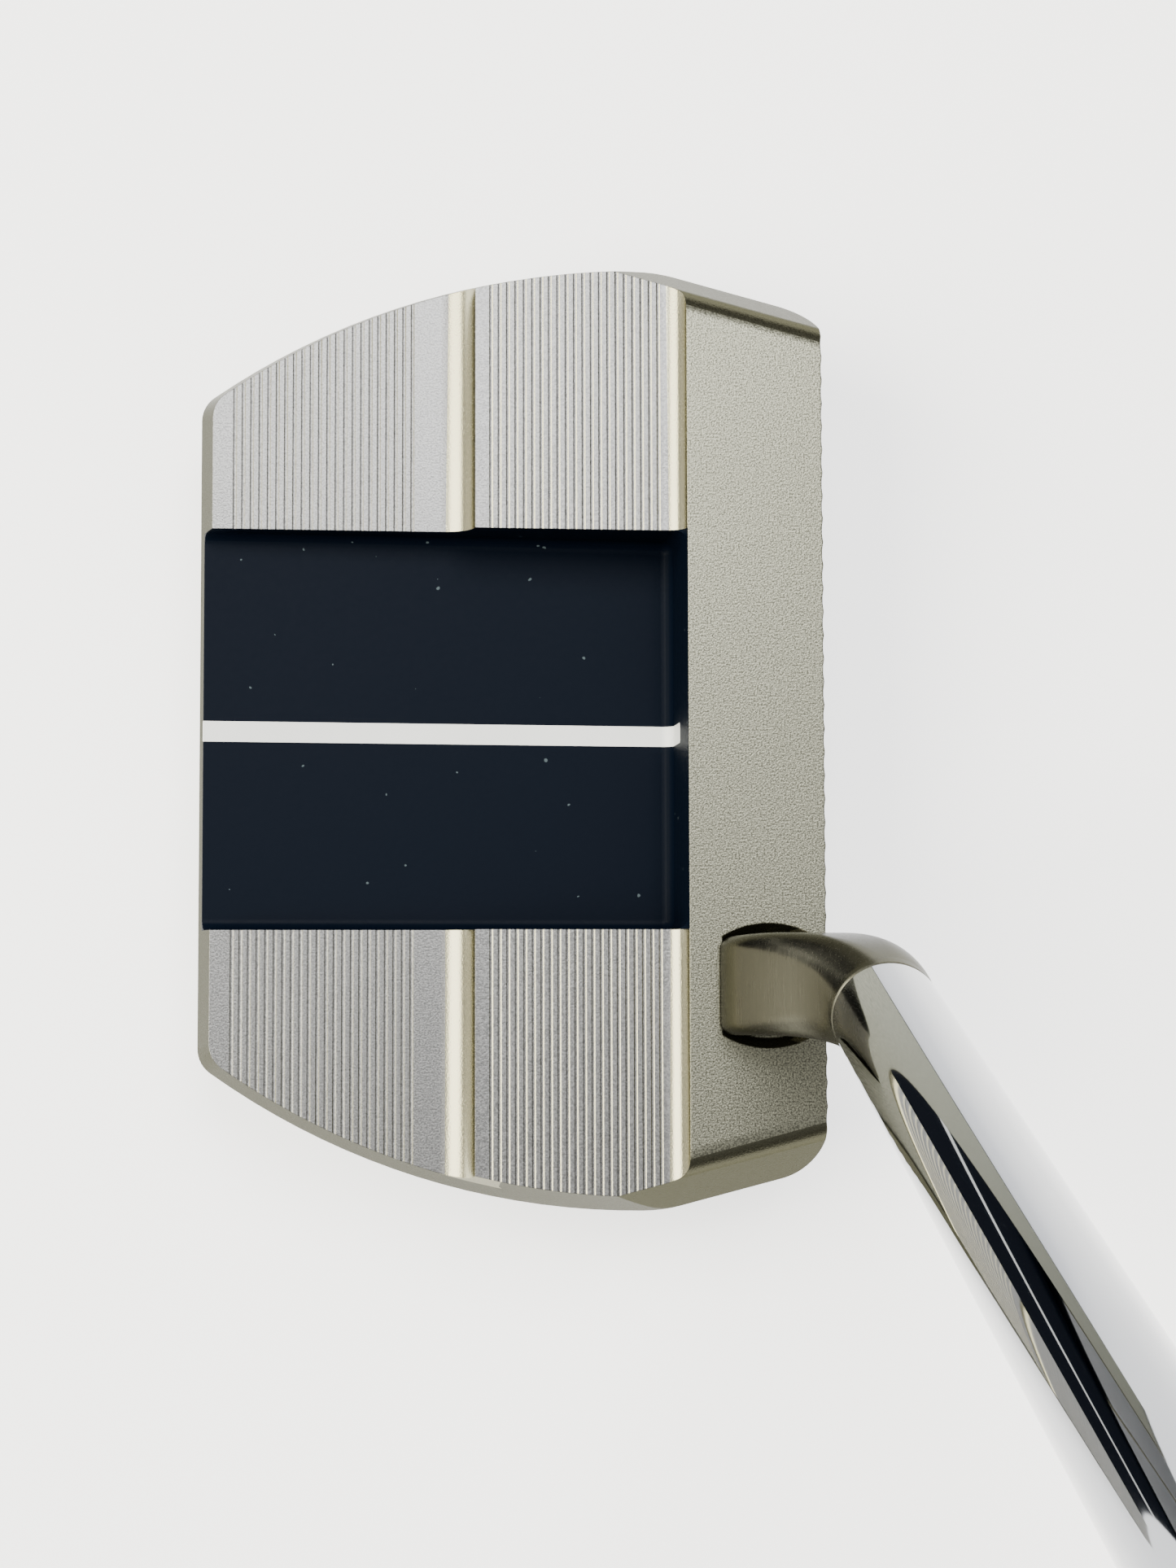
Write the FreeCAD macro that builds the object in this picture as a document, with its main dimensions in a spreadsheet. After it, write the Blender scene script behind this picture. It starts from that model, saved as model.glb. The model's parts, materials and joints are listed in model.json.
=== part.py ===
"""Mallet putter: a milled head with two terraced wings, a bent neck, a steel shaft and a grip.

Frame: +X is the way the face points, +Y the toe, +Z up.  The origin lies on the ground, under
the sight line, half-way between the rear edge and the face.  Lengths are in millimetres.
"""
import FreeCAD, Part
import Sketcher

import logging
import math
import os

Vector = FreeCAD.Vector
log = logging.getLogger("putter")

TOUCH = 1e-3
NECK_SECTIONS = 6

SIZES = {
    # how far a cutting outline passes beyond the surface that it cuts
    "overrun": 5.0,
    # heights above the ground
    "belt_height": 12.8,
    "topline_height": 25.0,
    "front_terrace_height": 22.8,
    "rear_terrace_height": 19.4,
    "floor_rear_height": 15.8,
    "floor_slope": 2.8,
    # plan of the head, at its widest level
    "half_width": 51.5,
    "widest_x": 15.3,
    "side_radius": 80.0,
    "rear_x": -32.7,
    "rear_corner_radius": 3.2,
    "end_slope": 14.2,
    "end_blend_radius": 16.4,
    "upper_draft": 13.0,
    "lower_draft": 14.0,
    "end_bevel": 22.0,
    "bevel_lead": 7.5,
    "end_round": 3.2,
    "belt_band": 2.4,
    "sole_edge_radius": 1.5,
    # topline and face
    "topline_back_x": 18.75,
    "face_top_x": 33.4,
    "loft": 3.0,
    "face_corner_radius": 4.5,
    "mill_pitch": 2.5,
    "mill_depth": 0.12,
    "mill_land": 0.2,
    "mill_rows": 34,
    # terraces and their milled ridges
    "step_x": -3.7,
    "front_fillet_radius": 2.2,
    "ridge_pitch": 0.9,
    "ridge_depth": 0.06,
    "ridge_land": 0.5,
    "rear_ridge_x": -29.1,
    "rear_ridges": 22,
    "front_ridge_x": -2.0,
    "front_ridges": 21,
    # painted recess and sight line
    "recess_width": 42.6,
    "recess_fillet": 1.2,
    "line_width": 2.2,
    "line_depth": 0.25,
    "line_climb": 4.4,
    "line_corner": 0.4,
    # sole plate, cavity and weights
    "plate_length": 45.0,
    "plate_width": 64.0,
    "plate_centre_x": -2.5,
    "plate_corner": 7.0,
    "plate_thick": 2.4,
    "plate_gap": 0.05,
    "pad_thick": 0.4,
    "ledge": 5.6,
    "cavity_roof": 9.8,
    "screw_inset": 4.2,
    "screw_head_radius": 2.8,
    "screw_radius": 1.5,
    "screw_reach": 6.0,
    "screw_socket": 1.1,
    "weight_radius": 6.4,
    "weight_height": 8.0,
    "weight_x": -2.5,
    "weight_wall": 1.2,
    "weight_gap": 0.05,
    "weight_sunk": 0.4,
    "weight_dish_radius": 3.5,
    "weight_dish_depth": 0.3,
    "weight_socket_depth": 4.0,
    "ring_section": 0.6,
    # neck
    "neck_x": 27.2,
    "neck_y": -27.3,
    "neck_side": 10.4,
    "neck_corner": 1.4,
    "spigot_side": 6.4,
    "spigot_depth": 7.0,
    "bond_gap": 0.1,
    "seat_depth": 1.6,
    "seat_gap": 0.02,
    "relief_width": 1.4,
    "relief_inset": 0.2,
    "relief_depth": 0.9,
    "relief_draft": 50.0,
    "neck_roundness": 0.96,
    "neck_lead": 0.42,
    "collar_lip": 0.1,
    "collar_length": 1.2,
    "collar_chamfer": 0.35,
    # shaft
    "lie": 70.0,
    "club_length": 863.6,
    "shaft_x": 34.1,
    "shaft_ground_y": -11.8,
    "shaft_start": 54.3,
    "shaft_tip_radius": 5.4,
    "shaft_butt_radius": 7.5,
    "shaft_wall": 0.5,
    "post_length": 28.0,
    # grip
    "grip_length": 267.0,
    "tape_thick": 0.2,
    "core_low_radius": 9.6,
    "core_high_radius": 12.0,
    "skin_thick": 1.8,
    "grip_flat": 1.1,
    "cap_thick": 3.0,
    "vent_radius": 1.0,
}


class Size:
    """A number together with the spreadsheet expression that gives it."""

    def __init__(self, value, text):
        self.value = float(value)
        self.text = text

    @staticmethod
    def of(other):
        """Return other as a Size, so that plain numbers can be mixed in."""
        if isinstance(other, Size):
            return other
        return Size(other, repr(float(other)))

    def combine(self, other, sign, value):
        """Return the Size that joins this one and another with a sign."""
        return Size(value, f"({self.text} {sign} {Size.of(other).text})")

    def __add__(self, other):
        return self.combine(other, "+", self.value + Size.of(other).value)

    def __sub__(self, other):
        return self.combine(other, "-", self.value - Size.of(other).value)

    def __mul__(self, other):
        return self.combine(other, "*", self.value * Size.of(other).value)

    def __truediv__(self, other):
        return self.combine(other, "/", self.value / Size.of(other).value)

    def __neg__(self):
        return Size(-self.value, f"(-{self.text})")

    def tan(self):
        """Tangent of an angle in degrees."""
        return Size(math.tan(math.radians(self.value)), f"tan({self.text})")

    def cos(self):
        """Cosine of an angle in degrees."""
        return Size(math.cos(math.radians(self.value)), f"cos({self.text})")

    def sin(self):
        """Sine of an angle in degrees."""
        return Size(math.sin(math.radians(self.value)), f"sin({self.text})")


class Sheet:
    """The driving dimensions; each is an attribute that holds a Size."""

    def __init__(self, doc, sizes):
        cells = doc.addObject("Spreadsheet::Sheet", "Sizes")
        for row, (name, value) in enumerate(sizes.items(), start=1):
            cells.set(f"A{row}", name)
            cells.set(f"B{row}", str(value))
            cells.setAlias(f"B{row}", name)
        doc.recompute()
        for name in sizes:
            setattr(self, name, Size(cells.get(name), f"Sizes.{name}"))


def bind(thing, prop, size):
    """Give a property its value through an expression on the sheet."""
    thing.setExpression(prop, Size.of(size).text)


def place(thing, x=0, y=0, z=0):
    """Bind the position of an object."""
    for axis, size in (("x", x), ("y", y), ("z", z)):
        bind(thing, f"Placement.Base.{axis}", size)


class Profile:
    """A closed, fully constrained outline in a sketch, drawn corner by corner."""

    def __init__(self, body, name, plane, offset=0):
        self.sketch = body.newObject("Sketcher::SketchObject", name)
        planes = body.Origin.OriginFeatures
        support = next(item for item in planes if item.Role == plane)
        self.sketch.AttachmentSupport = [(support, "")]
        self.sketch.MapMode = "FlatFace"
        bind(self.sketch, "AttachmentOffset.Base.z", offset)
        self.corners = []
        self.edges = []

    def start(self, x, y):
        """Set the first corner."""
        self.corners.append((Size.of(x), Size.of(y)))
        return self

    def line(self, x, y):
        """Draw a straight edge to the next corner."""
        self.corners.append((Size.of(x), Size.of(y)))
        self.edges.append(None)
        return self

    def arc(self, x, y, radius, left=True):
        """Draw a round edge to the next corner, turning left or right."""
        self.corners.append((Size.of(x), Size.of(y)))
        self.edges.append((Size.of(radius), left))
        return self

    def close(self):
        """Close the outline with a straight edge, build it and return the sketch."""
        self.edges.append(None)
        return self.build()

    def build(self):
        """Draw the edges, the last of which ends on the first corner."""
        count = len(self.corners)
        for index, edge in enumerate(self.edges):
            begin = self.point(index)
            end = self.point((index + 1) % count)
            if edge is None:
                self.sketch.addGeometry(Part.LineSegment(begin, end), False)
            else:
                self.add_arc(begin, end, *edge)
        self.constrain(count)
        return self.sketch

    def point(self, index):
        """Return one corner as a vector."""
        x, y = self.corners[index]
        return Vector(x.value, y.value, 0)

    def add_arc(self, begin, end, radius, left):
        """Add the short arc between two corners."""
        chord = end - begin
        middle = (begin + end) * 0.5
        rise = math.sqrt(max(radius.value ** 2 - (chord.Length / 2) ** 2, 0))
        side = Vector(-chord.y, chord.x, 0).normalize()
        centre = middle + side * (rise if left else -rise)
        out = (middle - centre)
        if out.Length < 1e-9:
            out = side * (-1 if left else 1)
        through = centre + out.normalize() * radius.value
        self.sketch.addGeometry(Part.Arc(begin, through, end), False)

    def constrain(self, count):
        """Tie every corner and radius to the sheet."""
        for index in range(count):
            edge = self.edges[index]
            left = edge is None or edge[1]
            first = 1 if left else 2
            following = self.edges[(index + 1) % count]
            last = 3 - first
            next_first = 1 if following is None or following[1] else 2
            after = (index + 1) % count
            self.sketch.addConstraint(
                Sketcher.Constraint("Coincident", index, last, after, next_first))
            for kind, size in zip(("DistanceX", "DistanceY"), self.corners[index]):
                number = self.sketch.addConstraint(
                    Sketcher.Constraint(kind, -1, 1, index, first, size.value))
                self.sketch.setExpression(f"Constraints[{number}]", size.text)
            if edge is not None:
                number = self.sketch.addConstraint(
                    Sketcher.Constraint("Radius", index, edge[0].value))
                self.sketch.setExpression(f"Constraints[{number}]", edge[0].text)


def circle(body, name, plane, x, y, radius, offset=0):
    """Return a sketch that holds one circle."""
    profile = Profile(body, name, plane, offset)
    x, y, radius = Size.of(x), Size.of(y), Size.of(radius)
    sketch = profile.sketch
    sketch.addGeometry(Part.Circle(Vector(x.value, y.value, 0), Vector(0, 0, 1), radius.value), False)
    for kind, size in (("DistanceX", x), ("DistanceY", y)):
        number = sketch.addConstraint(Sketcher.Constraint(kind, -1, 1, 0, 3, size.value))
        sketch.setExpression(f"Constraints[{number}]", size.text)
    number = sketch.addConstraint(Sketcher.Constraint("Radius", 0, radius.value))
    sketch.setExpression(f"Constraints[{number}]", radius.text)
    return sketch


def body(doc, name):
    """Add a body whose label names its sub-part."""
    new = doc.addObject("PartDesign::Body", name)
    new.Label = name
    return new


def pad(owner, sketch, length, draft=0, down=False):
    """Raise a sketch into a solid, with sides that lean inwards by the draft."""
    feature = owner.newObject("PartDesign::Pad", f"{sketch.Name}_pad")
    feature.Profile = sketch
    feature.Reversed = down
    bind(feature, "Length", length)
    bind(feature, "TaperAngle", -Size.of(draft))
    return feature


def cut(owner, sketch, length, both=False, up=True):
    """Cut a sketch out of its body, upwards, downwards or both ways from its plane."""
    before = owner.Shape.copy()
    feature = owner.newObject("PartDesign::Pocket", f"{sketch.Name}_cut")
    feature.Profile = sketch
    feature.Midplane = both
    feature.Reversed = up
    bind(feature, "Length", length)
    owner.Document.recompute()
    if owner.Shape.Volume > before.Volume - 1e-3:
        raise ValueError(f"{feature.Name} cuts nothing")
    return feature


def repeat(owner, feature, direction, pitch, count):
    """Repeat a feature in a row along a direction of the body's origin."""
    pattern = owner.newObject("PartDesign::LinearPattern", f"{feature.Name}_row")
    pattern.Originals = [feature]
    axes = owner.Origin.OriginFeatures
    pattern.Direction = (next(item for item in axes if item.Role == direction), [""])
    pattern.Occurrences = int(count.value)
    bind(pattern, "Length", pitch * (count - 1))
    owner.Tip = pattern
    owner.Document.recompute()
    return pattern


def round_edges(owner, name, radius, wanted):
    """Round the edges of the body's tip that pass a test."""
    base = owner.Tip
    names = [f"Edge{number}" for number, edge in enumerate(base.Shape.Edges, start=1) if wanted(edge)]
    if not names:
        raise ValueError(f"{name} finds no edges on {base.Name} {base.State}")
    feature = owner.newObject("PartDesign::Fillet", name)
    feature.Base = (base, names)
    bind(feature, "Radius", radius)
    owner.Document.recompute()
    if "Invalid" in feature.State or feature.Shape.isNull():
        raise ValueError(f"{name} cannot be rounded at {names}")
    return feature


def boolean(doc, kind, name, base, tool):
    """Join, cut or intersect two objects."""
    result = doc.addObject(f"Part::{kind}", name)
    result.Base = base
    result.Tool = tool
    result.Label = name
    return result


def cylinder(doc, name, radius, height, x=0, y=0, z=0):
    """Add an upright cylinder."""
    new = doc.addObject("Part::Cylinder", name)
    bind(new, "Radius", radius)
    bind(new, "Height", height)
    place(new, x, y, z)
    return new


def box(doc, name, length, width, height, x=0, y=0, z=0):
    """Add a box, centred on x and y and standing on z."""
    new = doc.addObject("Part::Box", name)
    bind(new, "Length", length)
    bind(new, "Width", width)
    bind(new, "Height", height)
    place(new, Size.of(x) - Size.of(length) / 2, Size.of(y) - Size.of(width) / 2, z)
    return new


def cone(doc, name, low, high, height, z=0):
    """Add a cone that stands on z."""
    new = doc.addObject("Part::Cone", name)
    bind(new, "Radius1", low)
    bind(new, "Radius2", high)
    bind(new, "Height", height)
    place(new, 0, 0, z)
    return new


class Head:
    """The milled head body, with its recess, terraces, socket and cavity."""

    def __init__(self, doc, s):
        self.s = s
        self.body = body(doc, "head_body")
        self.block()
        self.end_bevels()
        self.face_corners()
        self.mill_face()
        self.terraces()
        self.recess()
        self.neck_seat()
        self.underside()

    def floor(self, x):
        """Height of the recess floor at a place along X."""
        s = self.s
        return s.floor_rear_height - s.floor_slope.tan() * (Size.of(x) - s.rear_x)

    def bend(self):
        """Place where the widest outline's round side passes into its straight end."""
        s = self.s
        drop = s.end_blend_radius - s.end_blend_radius * s.end_slope.cos()
        return s.widest_x + s.end_blend_radius * s.end_slope.sin(), s.half_width - drop

    def end_y(self, x):
        """Distance from the sight line to the straight end, at a place along X."""
        bend_x, bend_y = self.bend()
        return bend_y - (Size.of(x) - bend_x) * self.s.end_slope.tan()

    def outline(self, name, offset):
        """Draw the widest outline: straight rear, round sides and straight ends."""
        s = self.s
        run = s.rear_x - s.widest_x
        drop = f"({s.side_radius.text} - sqrt({s.side_radius.text}^2 - {run.text}^2))"
        value = s.side_radius.value - math.sqrt(s.side_radius.value ** 2 - run.value ** 2)
        rear_y = s.half_width - Size(value, drop)
        front_x = s.face_top_x + s.topline_height * s.loft.tan() + s.overrun
        front_y = self.end_y(front_x)
        bend_x, bend_y = self.bend()
        profile = Profile(self.body, name, "XY_Plane", offset)
        profile.start(s.rear_x, -rear_y)
        profile.arc(s.widest_x, -s.half_width, s.side_radius)
        profile.arc(bend_x, -bend_y, s.end_blend_radius)
        profile.line(front_x, -front_y)
        profile.line(front_x, front_y)
        profile.line(bend_x, bend_y)
        profile.arc(s.widest_x, s.half_width, s.end_blend_radius)
        profile.arc(s.rear_x, rear_y, s.side_radius)
        return profile.close()

    def block(self):
        """Raise the block above and below its widest level and round its corners."""
        s = self.s
        low = s.belt_height - s.belt_band / 2
        high = s.belt_height + s.belt_band / 2
        pad(self.body, self.outline("band", low), s.belt_band)
        pad(self.body, self.outline("upper", high), s.topline_height - high, s.upper_draft)
        pad(self.body, self.outline("lower", low), low, s.lower_draft, down=True)
        self.body.Document.recompute()
        self.round_rear_corners()
        self.round_sole()
        face = Profile(self.body, "face", "XZ_Plane")
        low_x = s.face_top_x + (s.topline_height + s.overrun) * s.loft.tan()
        high_x = s.face_top_x - s.loft.tan() * s.overrun
        ahead = low_x + s.overrun * 2
        above = s.topline_height + s.overrun
        face.start(low_x, -s.overrun).line(ahead, -s.overrun).line(ahead, above).line(high_x, above)
        cut(self.body, face.close(), s.half_width * 3, both=True)

    def round_rear_corners(self):
        """Round the two upright corners at the rear."""
        s = self.s

        def corner(edge):
            first, last = edge.Vertexes[0].Point, edge.Vertexes[-1].Point
            upright = abs(first.z - last.z) > s.belt_band.value / 2
            return upright and max(first.x, last.x) < 0

        round_edges(self.body, "rear_corners", s.rear_corner_radius, corner)

    def round_sole(self):
        """Round the edge of the sole behind the face."""
        face = self.s.face_top_x.value

        def low(edge):
            return edge.BoundBox.ZMax < TOUCH and edge.CenterOfMass.x < face

        round_edges(self.body, "sole_round", self.s.sole_edge_radius, low)

    def mill_face(self):
        """Cut the row of shallow grooves that run up the face."""
        s = self.s
        half = (s.mill_pitch - s.mill_land) / 2
        radius = (half * half + s.mill_depth * s.mill_depth) / (s.mill_depth * 2)
        start = -s.mill_pitch * (s.mill_rows - 1) / 2
        profile = Profile(self.body, "mill", "XY_Plane")
        profile.start(0, start + half).arc(0, start - half, radius)
        profile.line(s.mill_depth, start - half).line(s.mill_depth, start + half)
        sketch = profile.close()
        low_x = s.face_top_x + s.topline_height * s.loft.tan()
        self.lean_with_face(sketch, low_x)
        groove = cut(self.body, sketch, s.topline_height * 3, both=True)
        repeat(self.body, groove, "Y_Axis", s.mill_pitch, s.mill_rows)

    def terraces(self):
        """Cut both terraces behind the topline, then the ridges across them."""
        s = self.s
        rear = s.rear_x - s.overrun
        step = s.front_terrace_height - s.rear_terrace_height
        above = s.topline_height + s.overrun
        blend = s.front_fillet_radius
        profile = Profile(self.body, "terrace", "XZ_Plane")
        profile.start(rear, s.rear_terrace_height)
        profile.line(s.step_x - step, s.rear_terrace_height)
        profile.arc(s.step_x, s.front_terrace_height, step)
        profile.line(s.topline_back_x - blend, s.front_terrace_height)
        profile.arc(s.topline_back_x, s.topline_height, s.topline_height - s.front_terrace_height)
        profile.line(s.topline_back_x, above).line(rear, above)
        cut(self.body, profile.close(), s.half_width * 3, both=True)
        self.ridges("rear_ridge", s.rear_ridge_x, s.rear_terrace_height, s.rear_ridges)
        self.ridges("front_ridge", s.front_ridge_x, s.front_terrace_height, s.front_ridges)

    def ridges(self, name, x, height, count):
        """Cut a row of shallow round-bottomed grooves that leave fine ridges."""
        s = self.s
        half = (s.ridge_pitch - s.ridge_land) / 2
        radius = (half * half + s.ridge_depth * s.ridge_depth) / (s.ridge_depth * 2)
        profile = Profile(self.body, name, "XZ_Plane")
        profile.start(x - half, height).arc(x + half, height, radius)
        profile.line(x + half, height + s.ridge_depth).line(x - half, height + s.ridge_depth)
        groove = cut(self.body, profile.close(), s.half_width * 3, both=True)
        repeat(self.body, groove, "X_Axis", s.ridge_pitch, count)

    def recess(self):
        """Cut the open-backed recess with its sloping floor, and the sight line's slot."""
        s = self.s
        rear = s.rear_x - s.overrun
        above = s.topline_height + s.overrun
        profile = Profile(self.body, "recess", "XZ_Plane")
        profile.start(rear, self.floor(rear)).line(s.topline_back_x, self.floor(s.topline_back_x))
        profile.line(s.topline_back_x, above).line(rear, above)
        cut(self.body, profile.close(), s.recess_width, both=True)
        half = s.recess_width.value / 2
        front = s.topline_back_x.value
        low = self.floor(front).value - TOUCH
        high = s.floor_rear_height.value + TOUCH

        def inner(edge):
            mid = edge.valueAt((edge.FirstParameter + edge.LastParameter) / 2)
            at_side = abs(abs(mid.y) - half) < TOUCH
            at_front = abs(mid.x - front) < TOUCH
            on_floor = low < mid.z < high and edge.Length > half
            return (at_side and at_front) or (on_floor and (at_side or at_front))

        round_edges(self.body, "recess_round", s.recess_fillet, inner)
        slot = Profile(self.body, "line_slot", "XZ_Plane")
        top = self.line_base(slot)
        slot.line(s.topline_back_x - s.recess_fillet / 2, top).line(rear, self.floor(rear) + s.line_depth)
        cut(self.body, slot.close(), s.line_width, both=True)
        round_edges(self.body, "line_slot_corners", s.line_corner, self.line_corner(top))

    def line_corner(self, top):
        """Return the test for the two short edges at the upper end of the sight line."""
        s = self.s

        def short(edge):
            mid = edge.valueAt((edge.FirstParameter + edge.LastParameter) / 2)
            at_top = abs(mid.z - top.value) < TOUCH
            at_side = abs(abs(mid.y) - s.line_width.value / 2) < TOUCH
            return at_top and at_side and edge.Length < s.line_depth.value * 2

        return short

    def line_point(self, angle, radius):
        """Return the place at an angle round the front fillet, from straight down."""
        s = self.s
        x = s.topline_back_x - s.recess_fillet
        z = self.floor(x) + s.recess_fillet / s.floor_slope.cos()
        return x + angle.sin() * radius, z - angle.cos() * radius

    def line_base(self, profile):
        """Draw the sight line's underside, down the floor and up the front wall, and return its top."""
        s = self.s
        rear = s.rear_x - s.overrun
        radius = s.recess_fillet + s.line_depth
        low = self.line_point(-s.floor_slope, radius)
        wall_x, wall_z = self.line_point(Size.of(90), radius)
        profile.start(rear, self.floor(rear) - s.line_depth / s.floor_slope.cos())
        profile.line(*low).arc(wall_x, wall_z, radius).line(wall_x, wall_z + s.line_climb)
        return wall_z + s.line_climb

    def end_bevels(self):
        """Slope the ends of the topline and round the corners beside the face."""
        s = self.s
        low = s.belt_height + s.belt_band / 2
        inset = (s.topline_height - low) * s.end_bevel.tan()
        reach = s.end_round * ((Size.of(90) - s.end_bevel) / 2).tan()
        above = s.topline_height + s.overrun
        start_x = s.topline_back_x - s.bevel_lead
        edge = self.end_y(start_x)
        for side, name in ((1, "toe_bevel"), (-1, "heel_bevel")):
            profile = Profile(self.body, name, "YZ_Plane", start_x)
            profile.start(0, low)
            profile.line((reach * s.end_bevel.sin() - inset) * side,
                         s.topline_height - reach * s.end_bevel.cos())
            profile.arc((reach + inset) * -side, s.topline_height, s.end_round, left=side > 0)
            profile.line((reach + inset) * -side, above).line(inset * side, above).line(inset * side, low)
            sketch = profile.close()
            sketch.AttachmentOffset = FreeCAD.Placement(
                Vector((edge * side).value, 0, start_x.value),
                FreeCAD.Rotation(Vector(0, 1, 0), -s.end_slope.value * side))
            bind(sketch, "AttachmentOffset.Base.x", edge * side)
            bind(sketch, "AttachmentOffset.Rotation.Angle", s.end_slope * -side)
            cut(self.body, sketch, s.half_width)

    def face_corners(self):
        """Round the two corners beside the face, most of all at the widest level."""
        s = self.s
        belt_x = s.face_top_x + (s.topline_height - s.belt_height) * s.loft.tan()
        corner_y = self.end_y(belt_x)
        run = s.face_corner_radius * ((Size.of(90) - s.end_slope) / 2).tan()
        low_x = s.face_top_x + s.topline_height * s.loft.tan()
        for side, name in ((1, "toe_corner"), (-1, "heel_corner")):
            profile = Profile(self.body, name, "XY_Plane")
            profile.start(0, (corner_y - run) * side)
            profile.arc(run * -s.end_slope.cos(), (corner_y + run * s.end_slope.sin()) * side,
                        s.face_corner_radius, left=side > 0)
            profile.line(run * -s.end_slope.cos(), (corner_y + s.overrun) * side)
            profile.line(s.overrun, (corner_y + s.overrun) * side)
            profile.line(s.overrun, (corner_y - run) * side)
            sketch = profile.close()
            self.lean_with_face(sketch, low_x)
            cut(self.body, sketch, s.topline_height * 3, both=True)

    def lean_with_face(self, sketch, low_x):
        """Lean a level sketch so that it is square to the face, with its origin at the face's foot."""
        sketch.AttachmentOffset = FreeCAD.Placement(
            Vector(low_x.value, 0, 0), FreeCAD.Rotation(Vector(0, 1, 0), -self.s.loft.value))
        bind(sketch, "AttachmentOffset.Base.x", low_x)
        bind(sketch, "AttachmentOffset.Rotation.Angle", -self.s.loft)

    def neck_seat(self):
        """Cut the neck's seat, the socket below it and the dished reliefs beside it."""
        s = self.s
        wide = s.neck_side + s.seat_gap * 2
        seat = rounded_box(self.body, "neck_seat", (s.neck_x, s.neck_y), (wide, wide),
                           s.neck_corner + s.seat_gap, s.topline_height - s.seat_depth)
        cut(self.body, seat, s.seat_depth + s.overrun)
        half = s.spigot_side / 2 + s.bond_gap
        profile = Profile(self.body, "socket", "XY_Plane", s.topline_height - s.spigot_depth)
        profile.start(s.neck_x - half, s.neck_y - half).line(s.neck_x + half, s.neck_y - half)
        profile.line(s.neck_x + half, s.neck_y + half).line(s.neck_x - half, s.neck_y + half)
        cut(self.body, profile.close(), s.spigot_depth)
        self.neck_reliefs()

    def neck_reliefs(self):
        """Cut the two shallow crescents that the cutter leaves beside the neck."""
        s = self.s
        half = s.neck_side / 2 - s.relief_inset
        radius = (half * half + s.relief_width * s.relief_width) / (s.relief_width * 2)
        for side, name in ((1, "toe_relief"), (-1, "heel_relief")):
            wall = s.neck_y + s.neck_side / 2 * side
            inner = wall - s.relief_width * 2 * side
            profile = Profile(self.body, name, "XY_Plane", s.topline_height)
            profile.start(s.neck_x - half, inner).line(s.neck_x - half, wall)
            profile.arc(s.neck_x + half, wall, radius, left=side < 0)
            profile.line(s.neck_x + half, inner)
            relief = cut(self.body, profile.close(), s.relief_depth, up=False)
            bind(relief, "TaperAngle", -s.relief_draft)
            self.body.Document.recompute()

    def underside(self):
        """Cut the plate's seat, the cavity, the screw holes and the weight bores."""
        s = self.s
        seat = plate_outline(self.body, "seat", s, s.plate_gap)
        cut(self.body, seat, s.plate_thick + s.pad_thick)
        cavity = plate_outline(self.body, "cavity", s, -s.ledge)
        cut(self.body, cavity, s.cavity_roof)
        for index, (x, y) in enumerate(screw_places(s)):
            hole = circle(self.body, f"screw_hole_{index}", "XY_Plane", x, y, s.screw_radius)
            cut(self.body, hole, s.plate_thick + s.pad_thick + s.screw_reach)
        for side, name in ((1, "toe_bore"), (-1, "heel_bore")):
            bore = circle(self.body, name, "XY_Plane", s.weight_x, weight_y(s) * side,
                          s.weight_radius + s.weight_gap)
            cut(self.body, bore, s.weight_sunk + s.ring_section * 2 + s.weight_height)


def rounded_box(owner, name, centre, lengths, corner, offset=0):
    """Draw a rectangle with round corners, given its centre and its two lengths."""
    left, right = centre[0] - lengths[0] / 2, centre[0] + lengths[0] / 2
    low, high = centre[1] - lengths[1] / 2, centre[1] + lengths[1] / 2
    profile = Profile(owner, name, "XY_Plane", offset)
    profile.start(left + corner, low).line(right - corner, low).arc(right, low + corner, corner)
    profile.line(right, high - corner).arc(right - corner, high, corner)
    profile.line(left + corner, high).arc(left, high - corner, corner)
    profile.line(left, low + corner).arc(left + corner, low, corner)
    profile.corners.pop()
    return profile.build()


def plate_outline(owner, name, s, grow, offset=0):
    """Draw the sole plate's rounded rectangle, grown on every side."""
    grow = Size.of(grow)
    lengths = (s.plate_length + grow * 2, s.plate_width + grow * 2)
    return rounded_box(owner, name, (s.plate_centre_x, Size.of(0)), lengths, s.plate_corner + grow, offset)


def weight_y(s):
    """Distance of each weight from the sight line, just outside the sole plate."""
    return s.plate_width / 2 + s.weight_wall + s.weight_radius


def screw_places(s):
    """List the four screw centres: toe front, toe rear, heel front, heel rear."""
    x = s.plate_length / 2 - s.screw_inset
    y = s.plate_width / 2 - s.screw_inset
    return [(s.plate_centre_x + x, y), (s.plate_centre_x - x, y),
            (s.plate_centre_x + x, -y), (s.plate_centre_x - x, -y)]


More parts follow.
